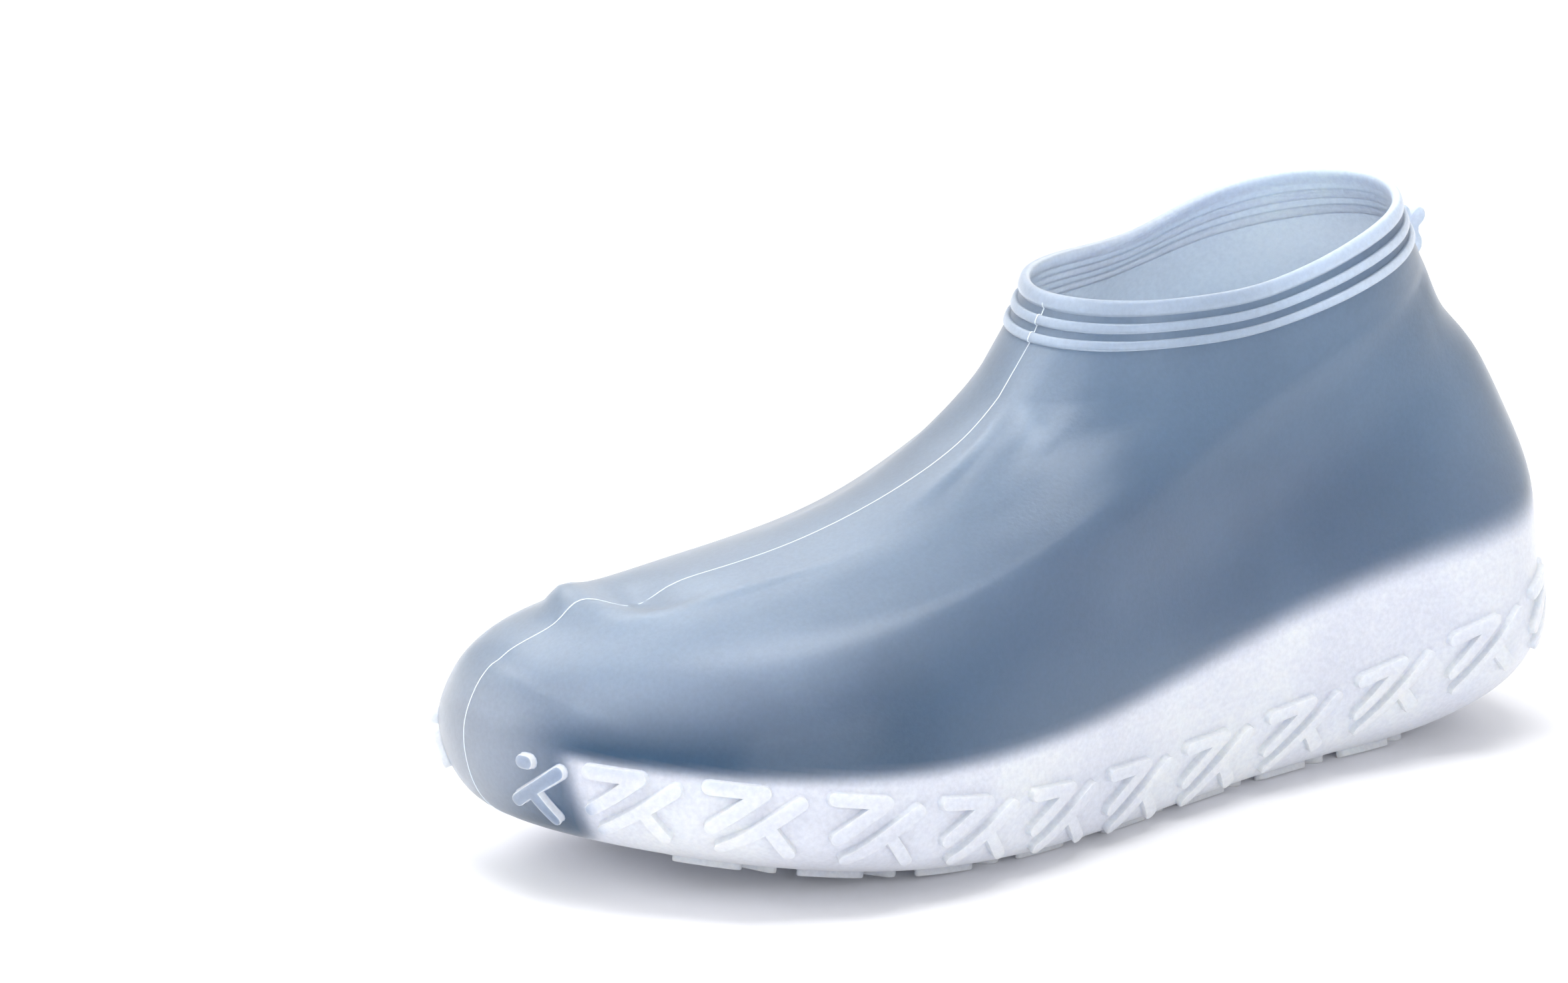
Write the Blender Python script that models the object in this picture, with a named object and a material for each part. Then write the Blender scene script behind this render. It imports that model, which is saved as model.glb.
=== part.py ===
"""One silicone overshoe, worn over a shoe against rain: a single soft moulding.

Frame: metres, +Z up, toe at -X, heel at +X, the wearer's left foot with its outer side at -Y.
The origin lies on the floor under the middle of the length. Everything is one body: the shell,
the thick lip and two ribs round its collar, the heel tab, the side grip pattern and the tread.
"""
import math
from collections import namedtuple

import bmesh
import bpy
import numpy as np
from mathutils import Matrix

# Outer size of the shell as it keeps its stretched form.
LENGTH = 0.303
FOOT_WIDTH = 0.115
HEEL_WIDTH = 0.098
COLLAR_LENGTH = 0.104
COLLAR_WIDTH = 0.067
COLLAR_SETBACK = 0.040
FRONT_RIM_HEIGHT = 0.126
BACK_RIM_HEIGHT = 0.143
TOE_SPRING = 0.0105
HEEL_SPRING = 0.0023
TOE_LEAN = 0.0155
BALL_LEAN = 0.0095

# Thickness of the silicone.
WALL = 0.0015
SOLE_WALL = 0.0026

# Collar, from the lip downwards.
LIP_HEIGHT = 0.0042
LIP_PROUD = 0.0012
RIB_HEIGHT = 0.0027
RIB_PROUD = 0.0011
RIB_GAP = 0.0020

# Heel tab.
TAB_SIZE = 0.0140
TAB_THICKNESS = 0.0026
TAB_HOLE = 0.0032
TAB_SETBACK = 0.0033
TAB_DROP = 0.0165

# Raised grip pattern on the sides and tread under the sole.
LUG_HEIGHT = 0.0018
LUG_WIDTH = 0.0034
LUG_ROOT = 0.0008
MOTIF_PITCH = 0.0292
MOTIF_HEIGHT = 0.0130
GRIP_START = 0.0063
GRIP_END_GAP = 0.0070
TREAD_INSET = 0.0060
TREAD_CLEAR = 0.0210

# Folds of the loose toe end.
FOLD_HEIGHT = 0.0035

# Fineness of the mesh.
COLUMNS = 48
LEVELS_BELOW_FOLD = (0.0, 0.35, 0.75, 1.2, 1.7, 2.2, 2.8, 3.4, 4.1, 4.8, 5.3)
LEVELS_ON_FOLD = (5.5, 5.75, 6.0, 6.25, 6.5)
LEVELS_ABOVE_FOLD = (6.9, 7.4, 7.9, 8.4, 8.9, 9.4)

# Rings from the sole's edge up to the rim. mix: 0 takes the foot's sizes, 1 the collar's. nose and
# back: 0 at the toe and heel ends, 1 at the collar's. The z columns are shares of the rim's height
# over five stations from toe to heel. The w columns are shares of the mixed width. The round
# columns are shares of the ring's own length.
Ring = namedtuple("Ring", "mix nose back toe_z ball_z waist_z instep_z heel_z "
                          "ball_w waist_w heel_w toe_round heel_round")
RINGS = (
    Ring(0.00, 0.131, 0.58, 0.000, 0.000, 0.000, 0.000, 0.000, 0.61, 0.640, 0.64, 0.31, 0.16),
    Ring(0.00, 0.037, 0.22, 0.131, 0.045, 0.016, 0.034, 0.063, 0.84, 0.755, 0.82, 0.28, 0.15),
    Ring(0.00, 0.002, 0.01, 0.239, 0.110, 0.092, 0.120, 0.167, 0.99, 0.805, 0.96, 0.27, 0.13),
    Ring(0.00, 0.006, 0.00, 0.327, 0.214, 0.210, 0.250, 0.309, 0.99, 0.835, 0.99, 0.28, 0.14),
    Ring(0.00, 0.038, 0.01, 0.408, 0.324, 0.338, 0.381, 0.450, 0.93, 0.810, 0.94, 0.28, 0.15),
    Ring(0.10, 0.102, 0.12, 0.465, 0.427, 0.467, 0.508, 0.570, 0.86, 0.790, 0.86, 0.27, 0.16),
    Ring(0.25, 0.234, 0.33, 0.529, 0.520, 0.574, 0.621, 0.685, 0.79, 0.830, 0.82, 0.30, 0.18),
    Ring(0.45, 0.472, 0.56, 0.596, 0.604, 0.672, 0.715, 0.767, 0.76, 0.890, 0.85, 0.35, 0.22),
    Ring(0.70, 0.722, 0.73, 0.696, 0.714, 0.768, 0.806, 0.857, 0.83, 0.960, 0.92, 0.41, 0.29),
    Ring(0.90, 0.902, 0.88, 0.828, 0.843, 0.856, 0.888, 0.931, 0.94, 0.960, 1.00, 0.46, 0.36),
    Ring(1.00, 1.000, 1.00, 1.000, 0.970, 0.950, 0.976, 1.000, 1.00, 0.920, 1.03, 0.50, 0.43),
)
HEIGHT_STATIONS = (0.0, 0.25, 0.5, 0.75, 1.0)
WIDTH_STATIONS = (0.2, 0.5, 0.82)
CORNER_POWER = 2.2

# Where the sole leaves the floor, as shares of the length from its middle, and how it curls.
SPRING_START = -0.13
SPRING_END = -0.43
SPRING_POWER = 1.8
HEEL_BEVEL_START = 0.32
HEEL_BEVEL_END = 0.43

# Height of the side pattern's middle over the sole, as shares of the back rim's height, at even
# steps from toe to heel.
GRIP_LINE = (0.195, 0.170, 0.105, 0.075, 0.105, 0.200, 0.300)

# One motif is a seven and a fork side by side. Each is a hub with arms: along is in shares of the
# pitch from toe to heel, rise in shares of the motif's height above its middle.
Mark = namedtuple("Mark", "hub arms")
SEVEN = Mark((0.50, 0.50), ((0.06, 0.50), (0.08, -0.19)))
FORK = Mark((0.515, -0.06), ((0.79, 0.38), (0.18, -0.61), (0.715, -0.58)))
TOE_STUD = Mark((0.45, 0.46), ((0.50, 0.46),))
TOE_FORK = Mark((0.515, -0.06), ((0.79, 0.38), (0.36, -0.32), (0.715, -0.58)))

# Folds, as levels and column angles: a hump across the toe and the dip behind it.
Fold = namedtuple("Fold", "level angle level_spread angle_spread height")
FOLDS = (
    Fold(5.72, -8.0, 0.24, 13.0, 1.00),
    Fold(6.20, 2.0, 0.22, 11.0, -0.55),
)

# Lobes of the heel tab seen from the side, turned from straight back: how far each centre lies
# from the hole and each radius, as shares of the tab's size.
Lobe = namedtuple("Lobe", "turn reach radius")
TAB_LOBES = (
    Lobe(0.0, 0.00, 0.30),
    Lobe(43.0, 0.38, 0.17),
    Lobe(103.0, 0.35, 0.16),
    Lobe(-62.0, 0.30, 0.25),
    Lobe(180.0, 0.12, 0.20),
)

CAP_STEPS = 2
TAB_POINTS = 26
HOLE_POINTS = 10


def spline_weights(knots, places):
    """Weights that turn values at the knots into a natural cubic spline's values at the places."""
    knots = np.asarray(knots, float)
    places = np.atleast_1d(np.asarray(places, float))
    count = len(knots)
    gaps = np.diff(knots)
    left = np.eye(count)
    right = np.zeros((count, count))
    for i in range(1, count - 1):
        left[i, i - 1:i + 2] = gaps[i - 1], 2 * (gaps[i - 1] + gaps[i]), gaps[i]
        right[i, i - 1] = 6 / gaps[i - 1]
        right[i, i] = -6 / gaps[i - 1] - 6 / gaps[i]
        right[i, i + 1] = 6 / gaps[i]
    bend = np.linalg.solve(left, right)
    span = np.clip(np.searchsorted(knots, places, side="right") - 1, 0, count - 2)
    step = gaps[span]
    ahead = (places - knots[span]) / step
    behind = 1 - ahead
    unit = np.eye(count)
    weights = behind[:, None] * unit[span] + ahead[:, None] * unit[span + 1]
    weights += ((behind ** 3 - behind) * step ** 2 / 6)[:, None] * bend[span]
    weights += ((ahead ** 3 - ahead) * step ** 2 / 6)[:, None] * bend[span + 1]
    return weights


def through(knots, values, places):
    """A natural cubic spline through the values."""
    return spline_weights(knots, places) @ np.asarray(values, float)


def between(start, end, share):
    return start + (end - start) * share


def lean(x):
    """How far the shell's middle line swings to the inner side, for a place along the length."""
    stations = np.array((-0.5, -0.2, 0.1, 0.5)) * LENGTH
    return through(stations, (TOE_LEAN, -BALL_LEAN, 0.24 * BALL_LEAN, 0.0), x)


def sole_rise(x):
    """Height of the sole's underside over its flat part: the toe and heel curl up."""
    share = np.asarray(x) / LENGTH
    toe = np.clip((SPRING_START - share) / (SPRING_START - SPRING_END), 0, None)
    heel = np.clip((share - HEEL_BEVEL_START) / (HEEL_BEVEL_END - HEEL_BEVEL_START), 0, None)
    return TOE_SPRING * toe ** SPRING_POWER + HEEL_SPRING * heel ** 2


def ring_points(ring, angles):
    """Points of one ring: angle 0 is its nose, half a turn its back, the outer side between."""
    collar_back = LENGTH / 2 - COLLAR_SETBACK
    nose = between(-LENGTH / 2, collar_back - COLLAR_LENGTH, ring.nose)
    back = between(LENGTH / 2, collar_back, ring.back)
    share = (1 - np.cos(angles)) / 2
    x = between(nose, back, share)

    rim_height = between(FRONT_RIM_HEIGHT, BACK_RIM_HEIGHT, share) - LUG_HEIGHT
    z = through(HEIGHT_STATIONS, ring[3:8], share) * rim_height
    if ring is RINGS[0]:
        z = sole_rise(x)

    ball = between(FOOT_WIDTH, COLLAR_WIDTH, ring.mix) * ring.ball_w
    waist = between(FOOT_WIDTH, COLLAR_WIDTH, ring.mix) * ring.waist_w
    heel = between(HEEL_WIDTH, COLLAR_WIDTH, ring.mix) * ring.heel_w
    half = through(WIDTH_STATIONS, (ball, waist, heel), np.clip(share, 0.12, 0.92)) / 2
    toe_gap = np.clip(1 - share / ring.toe_round, 0, 1)
    heel_gap = np.clip(1 - (1 - share) / ring.heel_round, 0, 1)
    narrowing = np.sqrt((1 - toe_gap ** CORNER_POWER) * (1 - heel_gap ** CORNER_POWER))
    side = np.where(np.abs(np.sin(angles)) < 1e-9, 0.0, -np.sign(np.sin(angles)))
    y = lean(x) + side * half * narrowing
    return np.stack([x, y, z + LUG_HEIGHT], axis=-1)


def ring_stack(angles):
    return np.stack([ring_points(ring, angles) for ring in RINGS])


TOP_LEVEL = len(RINGS) - 1


class Skin:
    """The shell's outer surface, by column angle and by distance up the column.

    The distance is 0 at the sole's edge, grows up the wall and is negative under the sole.
    """

    FINE = np.linspace(0, TOP_LEVEL, 121)

    def __init__(self, angles):
        self.angles = np.atleast_1d(np.asarray(angles, float))
        self.points = np.einsum("lk,kac->lac", spline_weights(range(len(RINGS)), self.FINE),
                                ring_stack(self.angles))
        steps = np.linalg.norm(np.diff(self.points, axis=0), axis=-1)
        self.run = np.vstack([np.zeros(len(self.angles)), np.cumsum(steps, axis=0)])

    def at_run(self, distances):
        """Points at the given distance up each column, one for each column."""
        out = np.empty((len(self.angles), 3))
        for i, distance in enumerate(np.broadcast_to(distances, len(self.angles))):
            column = self.points[:, i]
            for axis in range(3):
                out[i, axis] = np.interp(distance, self.run[:, i], column[:, axis])
            if distance < 0:
                middle = lean(column[0, 0])[0]
                out[i, 1] += math.copysign(-distance, middle - column[0, 1])
        return out

    def run_at_level(self, level):
        return np.array([np.interp(level, self.FINE, self.run[:, i])
                         for i in range(len(self.angles))])

    def run_at_height(self, height):
        """Distance up each column at which it reaches a height above the floor."""
        return np.array([np.interp(z, self.points[:, i, 2], self.run[:, i])
                         for i, z in enumerate(np.broadcast_to(height, len(self.angles)))])


def skin_points(angles, distances):
    return Skin(angles).at_run(distances)


def skin_normals(angles, distances):
    """Outward directions of the skin, from its slopes along and across the columns."""
    turn = 0.02
    rise = 0.0008
    angles = np.asarray(angles, float)
    across = skin_points(angles + turn, distances) - skin_points(angles - turn, distances)
    top = Skin(angles).run_at_level(TOP_LEVEL)
    upper = np.minimum(np.asarray(distances) + rise, top)
    along = skin_points(angles, upper) - skin_points(angles, upper - 2 * rise)
    normals = np.cross(across, along)
    return normals / np.linalg.norm(normals, axis=-1, keepdims=True)


def fold_height(levels, angles):
    """How far the folds push the wall out, for one level and all columns."""
    degrees = (np.degrees(angles) + 180) % 360 - 180
    total = np.zeros(len(angles))
    for fold in FOLDS:
        near = ((levels - fold.level) / fold.level_spread) ** 2
        near = near + ((degrees - fold.angle) / fold.angle_spread) ** 2
        total += FOLD_HEIGHT * fold.height * np.exp(-near)
    return total


def collar_profile():
    """Outer profile of the collar, lowest first: distance below the rim and how far it is proud."""
    edge = 0.15 * RIB_PROUD
    rows = []
    below = LIP_HEIGHT + 2 * (RIB_GAP + RIB_HEIGHT)
    for _ in range(2):
        rows.append((below + edge, 0.0))
        rows.append((below - edge, RIB_PROUD))
        rows.append((below - RIB_HEIGHT + edge, RIB_PROUD))
        rows.append((below - RIB_HEIGHT - edge, 0.0))
        below -= RIB_HEIGHT + RIB_GAP
    rows.append((LIP_HEIGHT + edge, 0.0))
    rows.append((LIP_HEIGHT - edge, LIP_PROUD))
    rows.append((0.25 * LIP_HEIGHT, LIP_PROUD))
    rows.append((0.06 * LIP_HEIGHT, 0.55 * LIP_PROUD))
    rows.append((0.0, -0.35 * WALL))
    rows.append((0.08 * LIP_HEIGHT, -0.85 * WALL))
    rows.append((0.3 * LIP_HEIGHT, -WALL))
    return rows


def wall_at(levels):
    """Wall thickness: the sole's at its edge and on the grip pattern, the upper's above."""
    share = np.clip((np.asarray(levels) - 3.2) / 1.2, 0, 1)
    return between(SOLE_WALL, WALL, share * share * (3 - 2 * share))


def shell_rows(columns):
    """Outer rows from the sole's edge to the lip, then fewer inner rows down again."""
    angles = np.linspace(0, 2 * math.pi, columns, endpoint=False)
    skin = Skin(angles)
    top = skin.run_at_level(TOP_LEVEL)
    collar = collar_profile()
    collar_foot = top - collar[0][0]
    squeeze = collar_foot / top
    levels = LEVELS_BELOW_FOLD + LEVELS_ON_FOLD + LEVELS_ABOVE_FOLD
    outer_only = LEVELS_BELOW_FOLD[1::2] + LEVELS_ABOVE_FOLD[::2]
    outer = []
    inner = []
    for level in levels:
        run = skin.run_at_level(level * 0.985)
        run = run * between(1.0, squeeze, (level / TOP_LEVEL) ** 4)
        points = skin.at_run(run)
        normals = skin_normals(angles, run)
        points = points + normals * fold_height(level, angles)[:, None]
        outer.append(points)
        if level not in outer_only:
            inner.append(points - normals * wall_at(level))
    for below, proud in collar:
        outer.append(skin.at_run(top - below) + skin_normals(angles, top - below) * proud)
    inner[0][:, 2] = outer[0][:, 2] + SOLE_WALL
    return outer + inner[::-1]


def add_ring(mesh, points):
    return [mesh.verts.new(point) for point in points]


def bridge(mesh, lower, upper):
    count = len(lower)
    for i in range(count):
        j = (i + 1) % count
        mesh.faces.new((lower[i], lower[j], upper[j], upper[i]))


def ladder(mesh, ring):
    """Closes a ring that is alike on both sides with straight strips across it."""
    count = len(ring)
    for i in range(count // 2):
        near, far = ring[i], ring[(count - i) % count]
        near_next, far_next = ring[i + 1], ring[(count - i - 1) % count]
        corners = list(dict.fromkeys((near, near_next, far_next, far)))
        mesh.faces.new(corners)


def to_object(name, mesh):
    """Makes an object of flat triangles, which the Booleans join without slivers."""
    bmesh.ops.recalc_face_normals(mesh, faces=mesh.faces)
    bmesh.ops.triangulate(mesh, faces=mesh.faces)
    data = bpy.data.meshes.new(name)
    mesh.to_mesh(data)
    mesh.free()
    item = bpy.data.objects.new(name, data)
    bpy.context.scene.collection.objects.link(item)
    return item


def make_shell(name):
    mesh = bmesh.new()
    rings = [add_ring(mesh, points) for points in shell_rows(COLUMNS)]
    for lower, upper in zip(rings, rings[1:]):
        bridge(mesh, lower, upper)
    ladder(mesh, rings[0])
    ladder(mesh, rings[-1])
    return to_object(name, mesh)


def mark_outline(mark, radius):
    """Outline of a mark in metres along and up: round-ended arms joined at their hub."""
    scale = np.array((MOTIF_PITCH, MOTIF_HEIGHT))
    hub = np.array(mark.hub) * scale
    arms = sorted((math.atan2(*(np.array(end) * scale - hub)[::-1]), tuple(np.array(end) * scale))
                  for end in mark.arms)
    outline = []
    for i, (angle, end) in enumerate(arms):
        for step in range(CAP_STEPS + 1):
            turn = angle + math.pi * (step / CAP_STEPS - 0.5)
            outline.append((end[0] + radius * math.cos(turn), end[1] + radius * math.sin(turn)))
        gap = (arms[(i + 1) % len(arms)][0] - angle) % (2 * math.pi) or 2 * math.pi
        if gap < 0.93 * math.pi:
            turn = angle + gap / 2
            reach = radius / math.sin(gap / 2)
            outline.append((hub[0] + reach * math.cos(turn), hub[1] + reach * math.sin(turn)))
        elif gap > 1.07 * math.pi:
            for step in range(CAP_STEPS + 1):
                turn = angle + math.pi / 2 + (gap - math.pi) * step / CAP_STEPS
                outline.append((hub[0] + radius * math.cos(turn), hub[1] + radius * math.sin(turn)))
    return outline


def sole_half(angles):
    """Half the width of the sole's flat underside at each column."""
    edge = ring_points(RINGS[0], np.asarray(angles, float))
    return np.abs(edge[:, 1] - lean(edge[:, 0]))


class Path:
    """A line round the shell from the toe to the heel on one side, for laying marks along it."""

    def __init__(self, side, line, clear=0.0):
        self.side = side
        angles = np.linspace(0.02, math.pi - 0.02, 240)
        self.angles = angles[sole_half(side * angles) > clear]
        skin = Skin(side * self.angles)
        self.middle = line(skin)
        points = skin.at_run(self.middle)
        steps = np.linalg.norm(np.diff(points, axis=0), axis=-1)
        self.along = np.concatenate([[0], np.cumsum(steps)])
        self.length = self.along[-1]

    def place(self, outline, start):
        """Columns and distances up them for an outline that starts at a distance from the toe."""
        along = start + np.array([point[0] for point in outline])
        rise = np.array([point[1] for point in outline])
        angles = np.interp(along, self.along, self.angles)
        distances = np.interp(along, self.along, self.middle) + rise
        return self.side * angles, distances


def grip_line(skin):
    """The side pattern's middle: a height over the floor that dips at the waist."""
    x = skin.points[0, :, 0]
    share = x / LENGTH + 0.5
    steps = np.linspace(0, 1, len(GRIP_LINE))
    return skin.run_at_height(LUG_HEIGHT + through(steps, GRIP_LINE, share) * BACK_RIM_HEIGHT)


def edge_line(skin):
    """An outer row of the tread, at an even distance inside the sole's edge."""
    return np.full(len(skin.angles), -TREAD_INSET)


def centre_line(skin):
    """The middle row of the tread."""
    return -sole_half(skin.angles)


def add_lug(mesh, angles, distances):
    """A prism that stands on the skin: its root inside the wall, its top proud of it."""
    points = skin_points(angles, distances)
    normals = skin_normals(angles, distances)
    root = add_ring(mesh, points - normals * LUG_ROOT)
    top = add_ring(mesh, points + normals * LUG_HEIGHT)
    bridge(mesh, root, top)
    mesh.faces.new(top)
    mesh.faces.new(root[::-1])


def add_motifs(mesh, path, start, end):
    """Sevens and forks in turn along a path, as many as fit between two distances along it."""
    while start + 0.85 * MOTIF_PITCH < end:
        for mark in (SEVEN, FORK):
            add_lug(mesh, *path.place(mark_outline(mark, LUG_WIDTH / 2), start))
        start += MOTIF_PITCH


def make_lugs(name):
    mesh = bmesh.new()
    for side in (1, -1):
        grip = Path(side, grip_line)
        for mark in (TOE_STUD, TOE_FORK):
            add_lug(mesh, *grip.place(mark_outline(mark, LUG_WIDTH / 2), GRIP_START))
        add_motifs(mesh, grip, GRIP_START + MOTIF_PITCH, grip.length - GRIP_END_GAP)
        edge = Path(side, edge_line, TREAD_CLEAR)
        add_motifs(mesh, edge, 0.0, edge.length)
    room_for_three = TREAD_INSET + 1.5 * (MOTIF_HEIGHT + LUG_WIDTH)
    centre = Path(1, centre_line, room_for_three)
    add_motifs(mesh, centre, 0.0, centre.length)
    return to_object(name, mesh)


def tab_radius(turn):
    """Distance from the tab's hole to its outline in one direction: the farthest lobe's edge."""
    reach = 0.0
    for lobe in TAB_LOBES:
        offset = math.radians(lobe.turn) - turn
        miss = lobe.reach * math.sin(offset)
        if abs(miss) < lobe.radius and (lobe.reach == 0 or math.cos(offset) > 0):
            reach = max(reach, lobe.reach * math.cos(offset)
                        + math.sqrt(lobe.radius ** 2 - miss ** 2))
    return reach * TAB_SIZE


def plate(name, centre, outline, thickness):
    """A flat plate in the XZ plane from an outline round its centre."""
    mesh = bmesh.new()
    sides = [add_ring(mesh, [(centre[0] + u, centre[1] + shift, centre[2] + w) for u, w in outline])
             for shift in (-thickness / 2, thickness / 2)]
    bridge(mesh, *sides)
    mesh.faces.new(sides[0][::-1])
    mesh.faces.new(sides[1])
    return to_object(name, mesh)


def tab_centre():
    """The hole's centre: behind the wall at the back, below the rim."""
    skin = Skin([math.pi])
    run = skin.run_at_height(BACK_RIM_HEIGHT - TAB_DROP)
    point = skin.at_run(run)[0]
    return point + np.array((TAB_SETBACK, 0.0, 0.0))


def make_tab(name):
    turns = [2 * math.pi * i / TAB_POINTS for i in range(TAB_POINTS)]
    outline = [(tab_radius(t) * math.cos(t), tab_radius(t) * math.sin(t)) for t in turns]
    return plate(name, tab_centre(), outline, TAB_THICKNESS)


def make_hole(name):
    turns = [2 * math.pi * i / HOLE_POINTS for i in range(HOLE_POINTS)]
    outline = [(TAB_HOLE / 2 * math.cos(t), TAB_HOLE / 2 * math.sin(t)) for t in turns]
    return plate(name, tab_centre(), outline, 2 * TAB_THICKNESS)


def join_with(target, other, operation):
    """Adds a Boolean and hides the solid that it uses."""
    modifier = target.modifiers.new(other.name, "BOOLEAN")
    modifier.operation = operation
    modifier.object = other
    modifier.solver = "EXACT"
    other.hide_render = True
    other.display_type = "WIRE"


def centre(items):
    """Moves all forms so that the origin lies under the middle of the box that holds them."""
    corners = np.array([vertex.co for item in items for vertex in item.data.vertices])
    middle = (corners.min(axis=0) + corners.max(axis=0)) / 2
    for item in items:
        item.data.transform(Matrix.Translation((-middle[0], -middle[1], 0.0)))


def silicone():
    """Milky translucent silicone rubber with a cool tint and a soft sheen."""
    material = bpy.data.materials.new("silicone")
    material.use_nodes = True
    surface = material.node_tree.nodes["Principled BSDF"]
    surface.inputs["Base Color"].default_value = (0.50, 0.58, 0.68, 1.0)
    surface.inputs["Roughness"].default_value = 0.42
    surface.inputs["Metallic"].default_value = 0.0
    surface.inputs["IOR"].default_value = 1.41
    surface.inputs["Transmission Weight"].default_value = 0.6
    material.diffuse_color = (0.50, 0.58, 0.68, 1.0)
    return material


for old in list(bpy.data.objects):
    bpy.data.objects.remove(old)

overshoe = make_shell("overshoe")
overshoe.data.materials.append(silicone())
tab = make_tab("heel_tab_form")
tab_hole = make_hole("tab_hole_form")
lugs = make_lugs("lug_forms")
centre((overshoe, tab, tab_hole, lugs))
join_with(tab, tab_hole, "DIFFERENCE")
join_with(overshoe, tab, "UNION")
join_with(overshoe, lugs, "UNION")
overshoe.data.shade_smooth()
overshoe.data.set_sharp_from_angle(angle=math.radians(35))
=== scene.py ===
"""A soft silicone overshoe for the left foot, empty and standing on its tread."""

import math
from collections import namedtuple

import bmesh
import bpy
import numpy as np
from mathutils import Matrix
from mathutils.geometry import delaunay_2d_cdt


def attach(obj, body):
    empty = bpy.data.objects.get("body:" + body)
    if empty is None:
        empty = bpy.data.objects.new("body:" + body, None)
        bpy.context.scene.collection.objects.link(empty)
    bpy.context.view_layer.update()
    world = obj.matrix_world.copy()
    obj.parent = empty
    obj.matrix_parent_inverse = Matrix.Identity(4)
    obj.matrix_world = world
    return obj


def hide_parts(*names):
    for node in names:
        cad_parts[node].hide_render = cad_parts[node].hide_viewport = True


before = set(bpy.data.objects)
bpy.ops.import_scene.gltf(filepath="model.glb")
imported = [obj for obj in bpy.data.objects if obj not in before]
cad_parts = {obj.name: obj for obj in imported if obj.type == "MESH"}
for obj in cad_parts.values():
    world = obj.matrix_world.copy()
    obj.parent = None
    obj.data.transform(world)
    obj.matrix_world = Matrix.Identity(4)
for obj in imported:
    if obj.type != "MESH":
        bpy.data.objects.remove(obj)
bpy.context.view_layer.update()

# Foot and ankle. On the real overshoe this is one thin wall of cured silicone rubber, moulded
# between a steel shell and a foot-shaped core. Here it is a stack of rings from the sole's edge up.
LENGTH = 0.303
FOOT_WIDTH = 0.115
HEEL_WIDTH = 0.098
COLLAR_LENGTH = 0.104
COLLAR_WIDTH = 0.067
COLLAR_SETBACK = 0.040
FRONT_RIM_HEIGHT = 0.126
BACK_RIM_HEIGHT = 0.143
TOE_SPRING = 0.0105
HEEL_SPRING = 0.0023
TOE_LEAN = 0.0155
BALL_LEAN = 0.0095
WAIST_LEAN = 0.24 * BALL_LEAN
WALL = 0.0015
SOLE_WALL = 0.0026
LUG_HEIGHT = 0.0018
SPRING_START = -0.13
SPRING_END = -0.43
SPRING_POWER = 1.8
HEEL_BEVEL_START = 0.32
HEEL_BEVEL_END = 0.43
CORNER_POWER = 2.2

# Rings from the sole's edge up to the rim. mix: 0 takes the foot's sizes, 1 the collar's. nose and
# back: 0 at the toe and heel ends, 1 at the collar's. The z columns are shares of the rim's height
# over five stations from toe to heel. The w columns are shares of the mixed width. The round
# columns are shares of the ring's own length.
Ring = namedtuple("Ring", "mix nose back toe_z ball_z waist_z instep_z heel_z "
                          "ball_w waist_w heel_w toe_round heel_round")
RINGS = (
    Ring(0.00, 0.131, 0.58, 0.000, 0.000, 0.000, 0.000, 0.000, 0.61, 0.640, 0.64, 0.31, 0.16),
    Ring(0.00, 0.037, 0.22, 0.131, 0.045, 0.016, 0.034, 0.063, 0.84, 0.755, 0.82, 0.28, 0.15),
    Ring(0.00, 0.002, 0.01, 0.239, 0.110, 0.092, 0.120, 0.167, 0.99, 0.805, 0.96, 0.27, 0.13),
    Ring(0.00, 0.006, 0.00, 0.327, 0.214, 0.210, 0.250, 0.309, 0.99, 0.835, 0.99, 0.28, 0.14),
    Ring(0.00, 0.038, 0.01, 0.408, 0.324, 0.338, 0.381, 0.450, 0.93, 0.810, 0.94, 0.28, 0.15),
    Ring(0.10, 0.102, 0.12, 0.465, 0.427, 0.467, 0.508, 0.570, 0.86, 0.790, 0.86, 0.27, 0.16),
    Ring(0.25, 0.234, 0.33, 0.529, 0.520, 0.574, 0.621, 0.685, 0.79, 0.830, 0.82, 0.30, 0.18),
    Ring(0.45, 0.472, 0.56, 0.596, 0.604, 0.672, 0.715, 0.767, 0.76, 0.890, 0.85, 0.35, 0.22),
    Ring(0.70, 0.722, 0.73, 0.696, 0.714, 0.768, 0.806, 0.857, 0.83, 0.960, 0.92, 0.41, 0.29),
    Ring(0.90, 0.902, 0.88, 0.828, 0.843, 0.856, 0.888, 0.931, 0.94, 0.960, 1.00, 0.46, 0.36),
    Ring(1.00, 1.000, 1.00, 1.000, 0.970, 0.950, 0.976, 1.000, 1.00, 0.920, 1.03, 0.50, 0.43),
)
HEIGHT_STATIONS = (0.0, 0.25, 0.5, 0.75, 1.0)
WIDTH_STATIONS = (0.2, 0.5, 0.82)
WIDTH_ENDS = (0.12, 0.92)
LEAN_STATIONS = (-0.5, -0.2, 0.1, 0.5)
TOP_LEVEL = len(RINGS) - 1
COLUMNS = 272
OUTER_LEVELS = 92
INNER_LEVELS = 46
HIGHEST_LEVEL = 9.4
FINE_LEVELS = 401


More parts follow.
